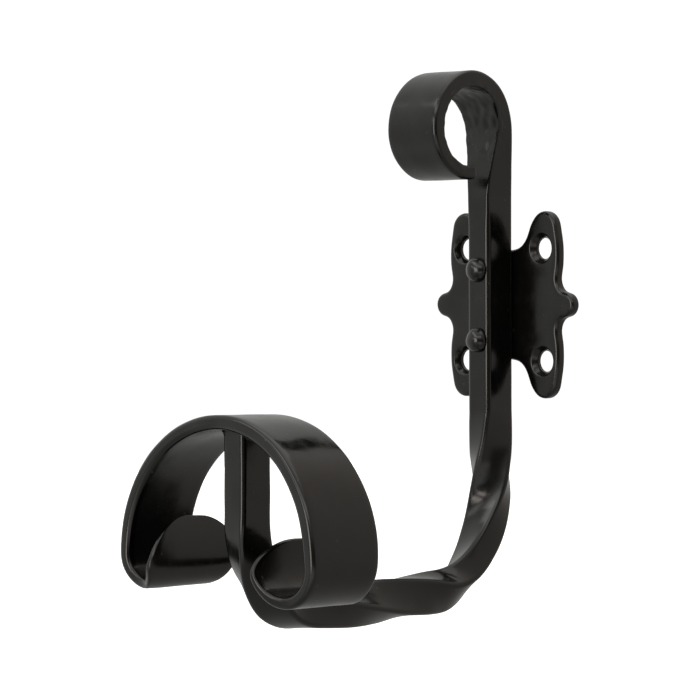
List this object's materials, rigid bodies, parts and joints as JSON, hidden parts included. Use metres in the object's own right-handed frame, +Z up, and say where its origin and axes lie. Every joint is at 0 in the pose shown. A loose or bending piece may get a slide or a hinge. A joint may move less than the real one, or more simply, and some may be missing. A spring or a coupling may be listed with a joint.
{
  "type": "wall hook",
  "caption": "Black wrought-iron bridle hook: riveted wall plate, full-twist forged bar with a scroll eye, and a curled arch band to hang a bridle on",
  "frame": {"origin": "centre of the wall plate's back face, where the hook meets the wall", "axes": "+Y points into the wall, +Z up, +X to the right seen from in front; the hook stands out along -Y"},
  "size_m": [0.0778, 0.1168, 0.1542],
  "materials": {
    "plate_black": "semi-gloss black enamel on pressed steel plate",
    "bar_black": "semi-gloss black enamel on hand-forged bar",
    "band_black": "semi-gloss black enamel on forged strip",
    "rivet_black": "semi-gloss black enamel, hammered dome",
    "weld_black": "semi-gloss black enamel over a fillet weld"
  },
  "bodies": {
    "root": {"wall_plate": "plate_black", "forged_bar": "bar_black", "arch_band": "band_black", "rivet_upper": "rivet_black", "rivet_lower": "rivet_black", "weld_bead_left": "weld_black", "weld_bead_right": "weld_black"}
  },
  "joints": []
}
